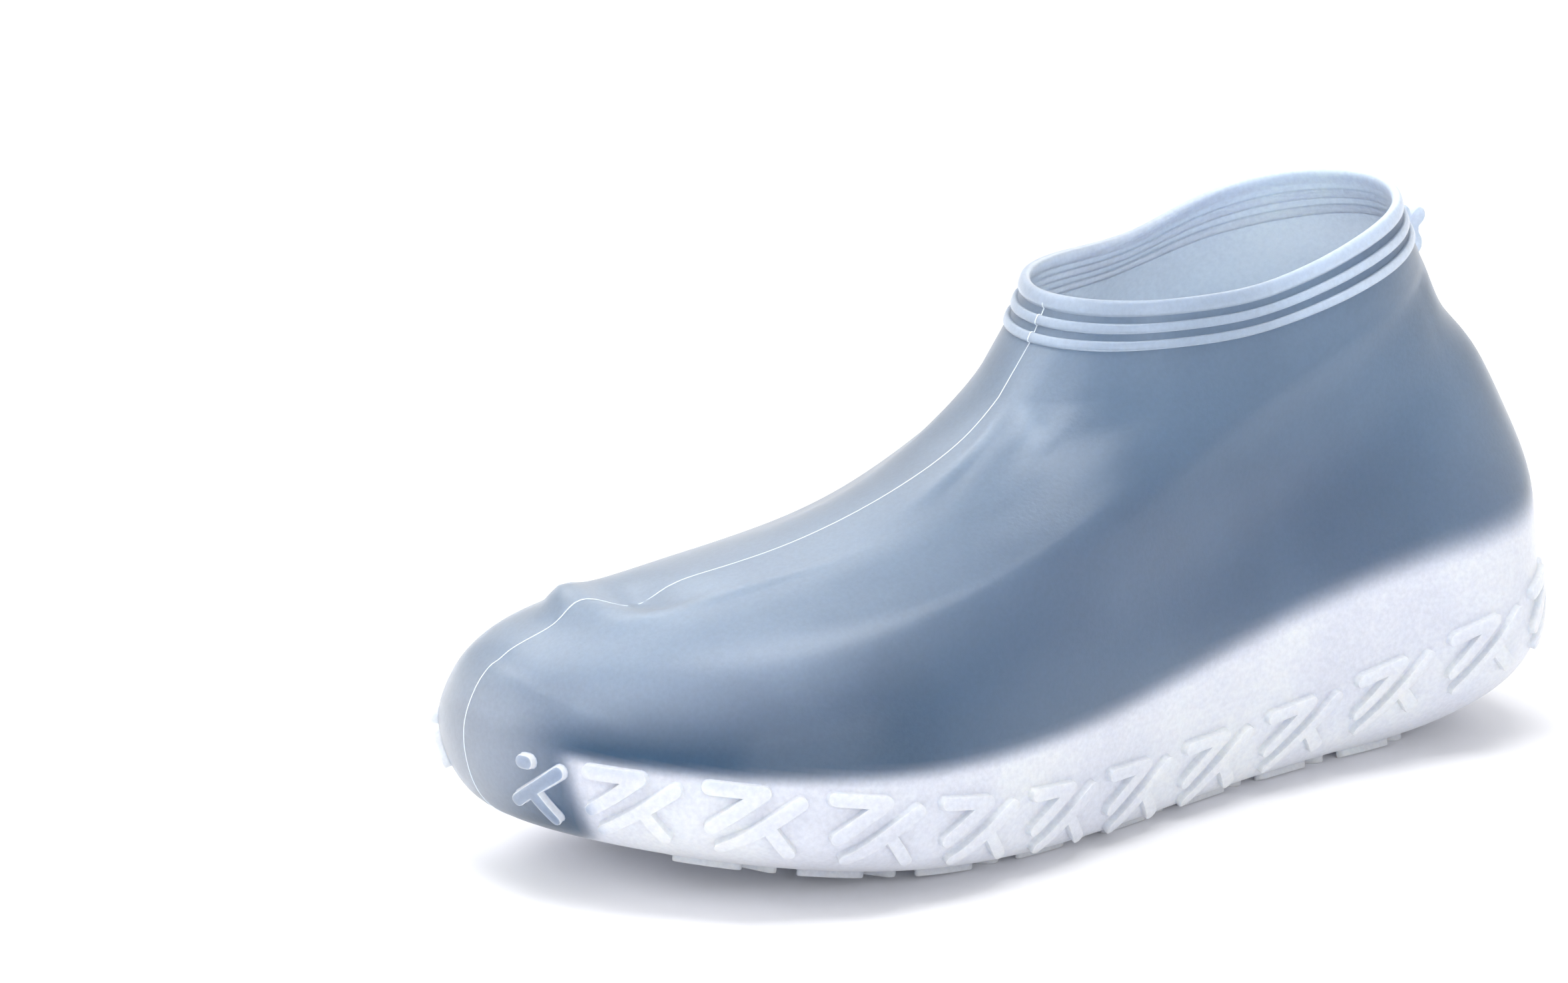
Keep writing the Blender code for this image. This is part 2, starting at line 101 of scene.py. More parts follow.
def spline_weights(knots, places):
    """Weights that turn values at the knots into a natural cubic spline's values at the places."""
    knots = np.asarray(knots, float)
    places = np.atleast_1d(np.asarray(places, float))
    count = len(knots)
    gaps = np.diff(knots)
    left = np.eye(count)
    right = np.zeros((count, count))
    for i in range(1, count - 1):
        left[i, i - 1:i + 2] = gaps[i - 1], 2 * (gaps[i - 1] + gaps[i]), gaps[i]
        right[i, i - 1] = 6 / gaps[i - 1]
        right[i, i] = -6 / gaps[i - 1] - 6 / gaps[i]
        right[i, i + 1] = 6 / gaps[i]
    bend = np.linalg.solve(left, right)
    span = np.clip(np.searchsorted(knots, places, side="right") - 1, 0, count - 2)
    step = gaps[span]
    ahead = (places - knots[span]) / step
    behind = 1 - ahead
    unit = np.eye(count)
    weights = behind[:, None] * unit[span] + ahead[:, None] * unit[span + 1]
    weights += ((behind ** 3 - behind) * step ** 2 / 6)[:, None] * bend[span]
    weights += ((ahead ** 3 - ahead) * step ** 2 / 6)[:, None] * bend[span + 1]
    return weights


def through(knots, values, places):
    """A natural cubic spline through the values."""
    return spline_weights(knots, places) @ np.asarray(values, float)


def between(start, end, share):
    return start + (end - start) * share


def smooth_step(low, high, value):
    share = np.clip((np.asarray(value, float) - low) / (high - low), 0, 1)
    return share * share * (3 - 2 * share)


def lean(x):
    """How far the middle line swings to the inner side, for a place along the length."""
    stations = np.array(LEAN_STATIONS) * LENGTH
    return through(stations, (TOE_LEAN, -BALL_LEAN, WAIST_LEAN, 0.0), x)


def sole_rise(x):
    """Height of the sole's underside over its flat part: the toe and heel curl up."""
    share = np.asarray(x) / LENGTH
    toe = np.clip((SPRING_START - share) / (SPRING_START - SPRING_END), 0, None)
    heel = np.clip((share - HEEL_BEVEL_START) / (HEEL_BEVEL_END - HEEL_BEVEL_START), 0, None)
    return TOE_SPRING * toe ** SPRING_POWER + HEEL_SPRING * heel ** 2


def ring_points(ring, angles):
    """Points of one ring: angle 0 is its nose, half a turn its back, the outer side between."""
    collar_back = LENGTH / 2 - COLLAR_SETBACK
    nose = between(-LENGTH / 2, collar_back - COLLAR_LENGTH, ring.nose)
    back = between(LENGTH / 2, collar_back, ring.back)
    share = (1 - np.cos(angles)) / 2
    x = between(nose, back, share)
    rim_height = between(FRONT_RIM_HEIGHT, BACK_RIM_HEIGHT, share) - LUG_HEIGHT
    z = through(HEIGHT_STATIONS, ring[3:8], share) * rim_height
    if ring is RINGS[0]:
        z = sole_rise(x)
    ball = between(FOOT_WIDTH, COLLAR_WIDTH, ring.mix) * ring.ball_w
    waist = between(FOOT_WIDTH, COLLAR_WIDTH, ring.mix) * ring.waist_w
    heel = between(HEEL_WIDTH, COLLAR_WIDTH, ring.mix) * ring.heel_w
    half = through(WIDTH_STATIONS, (ball, waist, heel), np.clip(share, *WIDTH_ENDS)) / 2
    toe_gap = np.clip(1 - share / ring.toe_round, 0, 1)
    heel_gap = np.clip(1 - (1 - share) / ring.heel_round, 0, 1)
    narrowing = np.sqrt((1 - toe_gap ** CORNER_POWER) * (1 - heel_gap ** CORNER_POWER))
    side = np.where(np.abs(np.sin(angles)) < 1e-9, 0.0, -np.sign(np.sin(angles)))
    return np.stack([x, lean(x) + side * half * narrowing, z + LUG_HEIGHT], axis=-1)


class Skin:
    """The wall's outer surface, by column angle and by distance up the column.

    The distance is 0 at the sole's edge, grows up the wall and is negative under the sole.
    """

    FINE = np.linspace(0, TOP_LEVEL, FINE_LEVELS)
    WEIGHTS = spline_weights(range(TOP_LEVEL + 1), FINE)
    TURN = 0.012
    RISE = 0.0005

    def __init__(self, angles, beside=True):
        self.angles = np.atleast_1d(np.asarray(angles, float))
        rings = np.stack([ring_points(ring, self.angles) for ring in RINGS])
        self.points = np.einsum("lk,kac->lac", self.WEIGHTS, rings)
        steps = np.linalg.norm(np.diff(self.points, axis=0), axis=-1)
        self.run = np.vstack([np.zeros(len(self.angles)), np.cumsum(steps, axis=0)])
        if beside:
            self.before = Skin(self.angles - self.TURN, False)
            self.after = Skin(self.angles + self.TURN, False)

    def at_run(self, distances):
        """Points at the given distance up each column, one for each column."""
        out = np.empty((len(self.angles), 3))
        for i, distance in enumerate(np.broadcast_to(distances, len(self.angles))):
            column = self.points[:, i]
            for axis in range(3):
                out[i, axis] = np.interp(distance, self.run[:, i], column[:, axis])
            if distance < 0:
                middle = lean(column[0, 0])[0]
                out[i, 1] += math.copysign(-distance, middle - column[0, 1])
        return out

    def outward(self, distances):
        """Outward directions, from the slopes along and across the columns."""
        across = self.after.at_run(distances) - self.before.at_run(distances)
        upper = np.minimum(np.asarray(distances) + self.RISE, self.run[-1])
        along = self.at_run(upper) - self.at_run(upper - 2 * self.RISE)
        normals = np.cross(across, along)
        return normals / np.linalg.norm(normals, axis=-1, keepdims=True)

    def run_at_level(self, level):
        return np.array([np.interp(level, self.FINE, self.run[:, i])
                         for i in range(len(self.angles))])

    def run_at_height(self, height):
        """Distance up each column at which it reaches a height above the floor."""
        return np.array([np.interp(z, self.points[:, i, 2], self.run[:, i])
                         for i, z in enumerate(np.broadcast_to(height, len(self.angles)))])


# Slack. The wall is looser than the foot at the toe and creases at the instep. Each fold is a soft
# ridge, or a dip where its height is negative, placed by level and by degrees from the nose; slant
# is how many degrees it drifts for each level.
FOLD_HEIGHT = 0.0035
WAVE_HEIGHT = 0.00016
WAVES_FROM = (3.3, 4.6)
WAVES_TO = (8.6, 9.4)
Wave = namedtuple("Wave", "per_level per_turn start")
WAVES = (Wave(1.9, 5, 0.6), Wave(3.1, -7, 2.1))
Fold = namedtuple("Fold", "level angle level_spread angle_spread slant height")
FOLDS = (
    Fold(5.72, -8.0, 0.23, 13.0, 0.0, 1.30),
    Fold(6.17, 1.0, 0.21, 12.0, 0.0, -0.95),
    Fold(6.35, 16.0, 0.70, 2.6, 6.5, 0.16),
    Fold(4.25, -2.0, 0.30, 7.0, 0.0, -0.22),
    Fold(3.95, 9.0, 0.30, 7.0, -40.0, 0.14),
    Fold(9.00, 24.0, 0.45, 6.0, -30.0, 0.20),
    Fold(8.70, 10.0, 0.60, 3.6, -5.0, 0.15),
    Fold(8.30, 17.0, 0.35, 5.0, -12.0, -0.10),
)


def fold_height(level, angles):
    """How far the folds push the wall out at one level."""
    degrees = (np.degrees(angles) + 180) % 360 - 180
    total = np.zeros(len(angles))
    for fold in FOLDS:
        middle = fold.angle + fold.slant * (level - fold.level)
        near = ((level - fold.level) / fold.level_spread) ** 2
        near = near + ((degrees - middle) / fold.angle_spread) ** 2
        total += FOLD_HEIGHT * fold.height * np.exp(-near)
    return total


def slack(level, angles):
    """How far the folds and a faint waviness push the wall out at one level."""
    loose = smooth_step(*WAVES_FROM, level) * (1 - smooth_step(*WAVES_TO, level))
    waves = sum(np.sin(wave.per_level * level + wave.per_turn * angles + wave.start)
                for wave in WAVES)
    return fold_height(level, angles) + WAVE_HEIGHT * loose * waves


# Collar. A thick rounded lip keeps the opening from tearing when it is stretched, and two flat
# ribs under it grip the ankle. They are moulded in one with the wall, with a groove between each.
LIP_HEIGHT = 0.0042
LIP_PROUD = 0.0012
RIB_HEIGHT = 0.0027
RIB_PROUD = 0.0011
RIB_GAP = 0.0020
LIP_STEPS = 16
LIP_START = 0.06 * math.pi
LIP_END = 1.5 * math.pi
LIP_FOOT = 1.04 * LIP_HEIGHT
LIP_PALE = 0.9 * LIP_HEIGHT
RIB_STEPS = 11
RIB_SQUARENESS = 3.4
LIP_SQUARENESS = 2.7
LEVEL_TRIM = 0.985
SQUEEZE_POWER = 4
THINNING = (3.2, 4.4)


def rounded(turn, squareness):
    """Cosine and sine of a rounded square, from 2 for a circle to more for a square."""
    power = 2 / squareness
    return (math.copysign(abs(math.cos(turn)) ** power, math.cos(turn)),
            math.copysign(abs(math.sin(turn)) ** power, math.sin(turn)))


def collar_profile():
    """Profile of the collar, lowest first: distance below the rim and how far it is proud."""
    rows = []
    for rib in (2, 1):
        middle = LIP_HEIGHT + rib * RIB_GAP + (rib - 0.5) * RIB_HEIGHT
        for step in range(RIB_STEPS):
            down, out = rounded(math.pi * step / (RIB_STEPS - 1), RIB_SQUARENESS)
            rows.append((middle + down * RIB_HEIGHT / 2, max(out, 0.0) * RIB_PROUD))
    lip_thickness = WALL + LIP_PROUD
    rows.append((LIP_FOOT, 0.0))
    for step in range(LIP_STEPS):
        turn = between(LIP_START, LIP_END, step / (LIP_STEPS - 1))
        down, out = rounded(turn, LIP_SQUARENESS)
        proud = (LIP_PROUD - WALL) / 2 + out * lip_thickness / 2
        rows.append(((1 + down) * LIP_HEIGHT / 2, proud))
    return rows


def wall_at(level):
    """Wall thickness: the sole's at its edge and on the grip pattern, the upper's above."""
    return between(SOLE_WALL, WALL, smooth_step(*THINNING, level))


def collar_squeeze(top):
    """How much the wall's rows are drawn together to leave the collar its room."""
    return (top - collar_profile()[0][0] - RIB_GAP / 4) / top


def level_run(skin, level):
    """Distance up each column at one level of the wall, under the collar."""
    squeeze = between(1.0, collar_squeeze(skin.run[-1]), (level / TOP_LEVEL) ** SQUEEZE_POWER)
    return skin.run_at_level(level * LEVEL_TRIM) * squeeze


def shell_rows():
    """Outer rows from the sole's edge over the lip, then fewer inner rows down again.

    With each row goes how much of a rib it is, whether it is on the inside, and its folds.
    """
    angles = np.linspace(0, 2 * math.pi, COLUMNS, endpoint=False)
    skin = Skin(angles)
    top = skin.run[-1]

    def wall_point(level, depth):
        run = level_run(skin, level)
        return skin.at_run(run) + skin.outward(run) * (slack(level, angles) - depth)[:, None]

    rows = [(wall_point(level, 0.0), 0.0, 0.0, fold_height(level, angles))
            for level in np.linspace(0, HIGHEST_LEVEL, OUTER_LEVELS)]
    for below, proud in collar_profile():
        points = skin.at_run(top - below) + skin.outward(top - below) * proud
        rib = 1.0 if below < LIP_PALE else min(proud / RIB_PROUD, 1.0)
        rows.append((points, rib, 0.0 if proud >= 0 else 1.0, np.zeros(COLUMNS)))
    inner = [(wall_point(level, wall_at(level)), 0.0, 1.0, np.zeros(COLUMNS))
             for level in np.linspace(0, HIGHEST_LEVEL, INNER_LEVELS)]
    inner[0][0][:, 2] = rows[0][0][:, 2] + SOLE_WALL
    return rows + inner[::-1]


def add_ring(mesh, points):
    return [mesh.verts.new(point) for point in points]


def bridge(mesh, lower, upper):
    count = len(lower)
    for i in range(count):
        j = (i + 1) % count
        mesh.faces.new((lower[i], lower[j], upper[j], upper[i]))


def ladder(mesh, ring):
    """Closes a ring that is alike on both sides with straight strips across it."""
    count = len(ring)
    for i in range(count // 2):
        corners = (ring[i], ring[i + 1], ring[(count - i - 1) % count], ring[(count - i) % count])
        mesh.faces.new(list(dict.fromkeys(corners)))


def add_object(name, data):
    item = bpy.data.objects.new(name, data)
    bpy.context.scene.collection.objects.link(item)
    return item


def to_object(name, mesh, slot_index=0):
    """An object of smooth triangles, its faces outwards, in one material slot of the moulding."""
    bmesh.ops.recalc_face_normals(mesh, faces=mesh.faces)
    bmesh.ops.triangulate(mesh, faces=mesh.faces)
    for face in mesh.faces:
        face.material_index = slot_index
        face.smooth = True
    data = bpy.data.meshes.new(name)
    mesh.to_mesh(data)
    mesh.free()
    return add_object(name, data)


shell_mesh = bmesh.new()
rib_layer = shell_mesh.verts.layers.float.new("rib")
inside_layer = shell_mesh.verts.layers.float.new("inside")
loose_layer = shell_mesh.verts.layers.float.new("loose")
shell_rings = []
for points, rib, within, folds in shell_rows():
    shell_rings.append(add_ring(shell_mesh, points))
    for vert, height in zip(shell_rings[-1], folds):
        vert[rib_layer], vert[inside_layer], vert[loose_layer] = rib, within, height
for lower_ring, upper_ring in zip(shell_rings, shell_rings[1:]):
    bridge(shell_mesh, lower_ring, upper_ring)
ladder(shell_mesh, shell_rings[0])
ladder(shell_mesh, shell_rings[-1])
shell = to_object("overshoe_moulding", shell_mesh)

# Heel tab. A small lobed plate stands out behind the collar, moulded on, with a hole to hang the
# overshoe up to dry. Its outline is the outer edge of a few round lobes, and its edges are rounded.
TAB_SIZE = 0.0140
TAB_THICKNESS = 0.0026
TAB_HOLE = 0.0032
TAB_SETBACK = 0.0033
TAB_DROP = 0.0165
TAB_EDGE = 0.0007
TAB_POINTS = 96
TAB_EASING = ((-2, 0.1), (-1, 0.2), (0, 0.4), (1, 0.2), (2, 0.1))
TAB_ROUNDING = ((0.6, 0.0), (0.18, 0.3), (0.0, 1.0))
Lobe = namedtuple("Lobe", "turn reach radius")
TAB_LOBES = (
    Lobe(0.0, 0.00, 0.30),
    Lobe(43.0, 0.38, 0.17),
    Lobe(103.0, 0.35, 0.16),
    Lobe(-62.0, 0.30, 0.25),
    Lobe(180.0, 0.12, 0.20),
)


def tab_radius(turn):
    """Distance from the hole to the tab's outline in one direction: the farthest lobe's edge."""
    reach = 0.0
    for lobe in TAB_LOBES:
        offset = math.radians(lobe.turn) - turn
        miss = lobe.reach * math.sin(offset)
        if abs(miss) < lobe.radius and (lobe.reach == 0 or math.cos(offset) > 0):
            reach = max(reach, lobe.reach * math.cos(offset)
                        + math.sqrt(lobe.radius ** 2 - miss ** 2))
    return reach * TAB_SIZE


def tab_ring(inset, side, hole):
    """One loop of the tab, round its outline or round its hole, pulled in by an inset."""
    back = Skin([math.pi])
    centre = back.at_run(back.run_at_height(BACK_RIM_HEIGHT - TAB_DROP))[0]
    points = []
    for i in range(TAB_POINTS):
        turn = 2 * math.pi * i / TAB_POINTS
        radius = TAB_HOLE / 2 + inset if hole else smooth_radii[i] - inset
        points.append((centre[0] + TAB_SETBACK + radius * math.cos(turn), centre[1] + side,
                       centre[2] + radius * math.sin(turn)))
    return points


# The lobes' outline has sharp inner corners, which a moulded edge hasn't: it is eased a little.
raw_radii = np.array([tab_radius(2 * math.pi * i / TAB_POINTS) for i in range(TAB_POINTS)])
smooth_radii = sum(np.roll(raw_radii, steps) * weight for steps, weight in TAB_EASING)
tab_mesh = bmesh.new()
half_tab = TAB_THICKNESS / 2
tab_loop = [(inset * TAB_EDGE, -half_tab + step * TAB_EDGE) for inset, step in TAB_ROUNDING]
tab_loop += [(inset, -height) for inset, height in tab_loop[::-1]]
tab_rings = [add_ring(tab_mesh, tab_ring(inset, side, False)) for inset, side in tab_loop]
tab_rings += [add_ring(tab_mesh, tab_ring(inset, side, True)) for inset, side in tab_loop[::-1]]
for lower_ring, upper_ring in zip(tab_rings, tab_rings[1:] + tab_rings[:1]):
    bridge(tab_mesh, lower_ring, upper_ring)
tab_rib_layer = tab_mesh.verts.layers.float.new("rib")
for vert in tab_mesh.verts:
    vert[tab_rib_layer] = 1.0
tab = to_object("heel_tab_form", tab_mesh)

# Silicone. Platinum-cured silicone rubber is milky and faintly blue, and the etched steel of the
# tool leaves it satin. Light passes through the thin wall. Its sides are painted a deep blue-grey
# as painted shade, and it is painted paler towards the crest as painted light. The thick lower
# band, the ribs and the raised bars scatter more and are whiter.
# The crest colour is painted light and the side colour is painted shade on the wall.
LIT_CREST_COLOUR = "#B3C4D7"
SHADED_SIDE_COLOUR = "#3A6082"
BAND_COLOUR = "#EEF1FB"
RIB_COLOUR = "#DFEBFB"
INSIDE_COLOUR = "#EEF3FA"
BAR_COLOUR = "#B4CAE8"
BAR_BAND_COLOUR = "#F0F3FD"
BAR_EDGE_COLOUR = "#EFF3FB"
WALL_CLEARNESS = 0.78
BAND_CLEARNESS = 0.30
SATIN = 0.33
SATIN_SPREAD = 0.03
SHEEN = 0.25
SHEEN_ROUGHNESS = 0.45
SILICONE_IOR = 1.41
SCATTER_DEPTH = 0.0016
SCATTER_SHARES = (0.8, 0.9, 1.0)
# The etched steel's grain is finer than 0.1 mm, so it is drawn coarser here, to show.
GRAIN_SIZE = 0.0012
GRAIN_BUMP = 0.22
GRAIN_HEIGHT = 0.0002
GRAIN_TONE = (0.93, 1.05)
CLOUD_SIZE = 0.030
CLOUD_TONE = (0.90, 1.03)
NOISE_LOW = 0.3
NOISE_HIGH = 0.7


def linear(hex_colour):
    """Turns an sRGB hex value into linear red, green, blue and alpha."""
    parts = [int(hex_colour[i:i + 2], 16) / 255 for i in (1, 3, 5)]
    light = [p / 12.92 if p <= 0.04045 else ((p + 0.055) / 1.055) ** 2.4 for p in parts]
    return (*light, 1.0)


def add_node(tree, kind, inputs=None, **settings):
    """Adds a node. An input is linked where its value is another node's output."""
    made = tree.nodes.new(kind)
    for name, value in settings.items():
        setattr(made, name, value)
    for name, value in (inputs or {}).items():
        if isinstance(value, bpy.types.NodeSocket):
            tree.links.new(value, made.inputs[name])
        else:
            made.inputs[name].default_value = value
    return made


def silicone(name, lit_crest_colour, shaded_side_colour, band_colour, rib_colour):
    """Satin milky silicone. Attributes on the mesh say where painted shade darkens it and where it
    is pale or less clear.
    """
    material = bpy.data.materials.new(name)
    material.use_nodes = True
    tree = material.node_tree
    surface = tree.nodes["Principled BSDF"]
    where = add_node(tree, "ShaderNodeTexCoord").outputs["Object"]
    colour, milky = linear(lit_crest_colour), 0.0
    # The first share darkens the crest colour towards the side colour: painted shade.
    for layer, tint in (("deep", shaded_side_colour), ("inside", INSIDE_COLOUR), ("band", band_colour),
                        ("rib", rib_colour)):
        share = add_node(tree, "ShaderNodeAttribute", attribute_name=layer).outputs["Fac"]
        mix = add_node(tree, "ShaderNodeMix", {0: share, 6: colour, 7: linear(tint)},
                       data_type="RGBA")
        colour = mix.outputs[2]
        if layer in ("band", "rib"):
            milky = add_node(tree, "ShaderNodeMath", {0: share, 1: milky},
                             operation="MAXIMUM").outputs[0]
    light_through = add_node(tree, "ShaderNodeMapRange", {
        "Value": milky, "To Min": WALL_CLEARNESS, "To Max": BAND_CLEARNESS})
    tree.links.new(light_through.outputs[0], surface.inputs["Transmission Weight"])
    cloud = add_node(tree, "ShaderNodeTexNoise", {
        "Vector": where, "Scale": 1 / CLOUD_SIZE, "Detail": 3.0, "Roughness": 0.5})
    veil = add_node(tree, "ShaderNodeMapRange", {
        "Value": cloud.outputs[0], "From Min": NOISE_LOW, "From Max": NOISE_HIGH,
        "To Min": CLOUD_TONE[0], "To Max": CLOUD_TONE[1]})
    grain = add_node(tree, "ShaderNodeTexNoise", {
        "Vector": where, "Scale": 1 / GRAIN_SIZE, "Detail": 2.0, "Roughness": 0.6})
    speck = add_node(tree, "ShaderNodeMapRange", {
        "Value": grain.outputs[0], "From Min": NOISE_LOW, "From Max": NOISE_HIGH,
        "To Min": GRAIN_TONE[0], "To Max": GRAIN_TONE[1]})
    tone = add_node(tree, "ShaderNodeMath", {0: veil.outputs[0], 1: speck.outputs[0]},
                    operation="MULTIPLY")
    veiled = add_node(tree, "ShaderNodeVectorMath", {
        0: colour, "Scale": tone.outputs[0]}, operation="SCALE")
    tree.links.new(veiled.outputs[0], surface.inputs["Base Color"])
    gloss = add_node(tree, "ShaderNodeMapRange", {
        "Value": cloud.outputs[0], "From Min": NOISE_LOW, "From Max": NOISE_HIGH,
        "To Min": SATIN - SATIN_SPREAD, "To Max": SATIN + SATIN_SPREAD})
    tree.links.new(gloss.outputs[0], surface.inputs["Roughness"])
    bump = add_node(tree, "ShaderNodeBump", {
        "Height": grain.outputs[0], "Strength": GRAIN_BUMP, "Distance": GRAIN_HEIGHT})
    tree.links.new(bump.outputs[0], surface.inputs["Normal"])
    surface.inputs["IOR"].default_value = SILICONE_IOR
    surface.inputs["Sheen Weight"].default_value = SHEEN
    surface.inputs["Sheen Roughness"].default_value = SHEEN_ROUGHNESS
    surface.inputs["Subsurface Weight"].default_value = 1.0
    surface.inputs["Subsurface Radius"].default_value = SCATTER_SHARES
    surface.inputs["Subsurface Scale"].default_value = SCATTER_DEPTH
    return material


wall_silicone = silicone("silicone_rubber_wall", LIT_CREST_COLOUR, SHADED_SIDE_COLOUR, BAND_COLOUR,
                         RIB_COLOUR)
bar_silicone = silicone("silicone_rubber_bars", BAR_COLOUR, BAR_COLOUR, BAR_BAND_COLOUR,
                        BAR_EDGE_COLOUR)

# Grip pattern and tread. Raised bars stand on the wall round the foot and under the sole: a seven
# and a fork in turn. They are cut into the steel tool, so their tops are flat and their edges are
# only slightly eased.
LUG_WIDTH = 0.0034
LUG_ROOT = 0.0008
LUG_EDGE = 0.00040
LUG_FOOT = 0.00045
MOTIF_PITCH = 0.0292
MOTIF_HEIGHT = 0.0130
GRIP_START = 0.0063
GRIP_END_GAP = 0.0070
TREAD_INSET = 0.0060
TREAD_CLEAR = 0.0210
GRIP_LINE = (0.195, 0.170, 0.105, 0.075, 0.105, 0.200, 0.300)
# Profile of a bar, from its buried root to its flat top: how far it is pulled in, and its height.
LUG_PROFILE = (
    (-LUG_FOOT, -LUG_ROOT),
    (-LUG_FOOT, -0.25 * LUG_FOOT),
    (-0.3 * LUG_FOOT, 0.3 * LUG_FOOT),
    (0.0, LUG_FOOT),
    (0.1 * LUG_EDGE, LUG_HEIGHT - LUG_EDGE),
    (0.4 * LUG_EDGE, LUG_HEIGHT - 0.2 * LUG_EDGE),
    (LUG_EDGE, LUG_HEIGHT),
)
CAP_STEPS = 6
NEARLY_STRAIGHT = 0.07 * math.pi
FILL_INSET = 0.62 * LUG_WIDTH / 2
EDGE_STEP = 0.0017
TOP_PALE = 0.15
BAND_REACH = 0.0120
STRIP_MARGIN = 0.02
STRIP_COLUMNS = 240
STRIP_ROWS = 17
LAST_MARK = 0.85 * MOTIF_PITCH
Mark = namedtuple("Mark", "hub arms")
SEVEN = Mark((0.50, 0.50), ((0.06, 0.50), (0.08, -0.19)))
FORK = Mark((0.515, -0.06), ((0.79, 0.38), (0.18, -0.61), (0.715, -0.58)))
TOE_STUD = Mark((0.45, 0.46), ((0.50, 0.46),))
TOE_FORK = Mark((0.515, -0.06), ((0.79, 0.38), (0.36, -0.32), (0.715, -0.58)))


def mark_outline(mark, radius):
    """Outline of a mark in metres along and up: round-ended arms joined at their hub."""
    scale = np.array((MOTIF_PITCH, MOTIF_HEIGHT))
    hub = np.array(mark.hub) * scale
    arms = sorted((math.atan2(*(np.array(end) * scale - hub)[::-1]), tuple(np.array(end) * scale))
                  for end in mark.arms)
    outline = []
    for i, (angle, end) in enumerate(arms):
        for step in range(CAP_STEPS + 1):
            turn = angle + math.pi * (step / CAP_STEPS - 0.5)
            outline.append((end[0] + radius * math.cos(turn), end[1] + radius * math.sin(turn)))
        gap = (arms[(i + 1) % len(arms)][0] - angle) % (2 * math.pi) or 2 * math.pi
        if gap < math.pi - NEARLY_STRAIGHT:
            turn = angle + gap / 2
            reach = radius / math.sin(gap / 2)
            outline.append((hub[0] + reach * math.cos(turn), hub[1] + reach * math.sin(turn)))
        elif gap > math.pi + NEARLY_STRAIGHT:
            for step in range(CAP_STEPS + 1):
                turn = angle + math.pi / 2 + (gap - math.pi) * step / CAP_STEPS
                outline.append((hub[0] + radius * math.cos(turn),
                                hub[1] + radius * math.sin(turn)))
    return outline


def fine_outline(mark, inset, counts):
    """The outline pulled in by an inset, with each side cut into its count of steps."""
    corners = np.array(mark_outline(mark, LUG_WIDTH / 2 - inset))
    points = []
    for start, end, count in zip(corners, np.roll(corners, -1, axis=0), counts):
        points += [start + (end - start) * step / count for step in range(count)]
    return np.array(points)


def inside(points, outline):
    """Which of the points lie inside a closed outline."""
    start, end = outline, np.roll(outline, -1, axis=0)
    crossed = (start[None, :, 1] > points[:, None, 1]) != (end[None, :, 1] > points[:, None, 1])
    rise = np.where(np.abs(end[:, 1] - start[:, 1]) < 1e-12, 1e-12, end[:, 1] - start[:, 1])
    where = start[:, 0] + (points[:, None, 1] - start[:, 1]) * (end[:, 0] - start[:, 0]) / rise
    return (crossed & (points[:, None, 0] < where)).sum(axis=1) % 2 == 1


def fill(mesh, ring, outline, spots, height):
    """Closes a flat ring with triangles through extra spots, so that it can bend with the wall."""
    count = len(outline)
    flat = [tuple(point) for point in outline] + [tuple(point) for point in spots]
    edges = [(i, (i + 1) % count) for i in range(count)]
    _, _, faces, source, _, _ = delaunay_2d_cdt(flat, edges, [], 1, 1e-7)
    verts = list(ring) + [mesh.verts.new((point[0], point[1], height)) for point in spots]
    for face in faces:
        mesh.faces.new([verts[source[i][0]] for i in face])


def add_mark(mesh, mark):
    """A flat mark, its length along X and its height along Z, ready to be laid on the wall."""
    corners = np.array(mark_outline(mark, LUG_WIDTH / 2))
    sides = np.linalg.norm(np.roll(corners, -1, axis=0) - corners, axis=1)
    counts = np.maximum(1, np.round(sides / EDGE_STEP)).astype(int)
    edge_layer = mesh.verts.layers.float.get("rib") or mesh.verts.layers.float.new("rib")
    rings = []
    for inset, height in LUG_PROFILE:
        outline = fine_outline(mark, inset, counts)
        rings.append(add_ring(mesh, [(x, y, height) for x, y in outline]))
        for vert in rings[-1]:
            vert[edge_layer] = TOP_PALE if height == LUG_HEIGHT else 1.0
    for lower, upper in zip(rings, rings[1:]):
        bridge(mesh, lower, upper)
    low, high = corners.min(axis=0), corners.max(axis=0)
    across, up = np.meshgrid(np.arange(low[0], high[0], EDGE_STEP),
                             np.arange(low[1], high[1], EDGE_STEP))
    spots = np.stack([across.ravel(), up.ravel()], axis=-1)
    spots = spots[inside(spots, fine_outline(mark, FILL_INSET, counts))]
    for end in (-1, 0):
        inset, height = LUG_PROFILE[end]
        fill(mesh, rings[end], fine_outline(mark, inset, counts), spots, height)


def make_motif(name, marks):
    mesh = bmesh.new()
    for mark in marks:
        add_mark(mesh, mark)
    return to_object(name, mesh, 1)


def sole_half(angles):
    """Half the width of the sole's flat underside at each column."""
    edge = ring_points(RINGS[0], np.asarray(angles, float))
    return np.abs(edge[:, 1] - lean(edge[:, 0]))


def grip_line(skin):
    """The side pattern's middle: a height over the floor that dips at the waist."""
    share = skin.points[0, :, 0] / LENGTH + 0.5
    steps = np.linspace(0, 1, len(GRIP_LINE))
    return skin.run_at_height(LUG_HEIGHT + through(steps, GRIP_LINE, share) * BACK_RIM_HEIGHT)


def edge_line(skin):
    """An outer row of the tread, at an even distance inside the sole's edge."""
    return np.full(len(skin.angles), -TREAD_INSET)


def centre_line(skin):
    """The middle row of the tread."""
    return -sole_half(skin.angles)


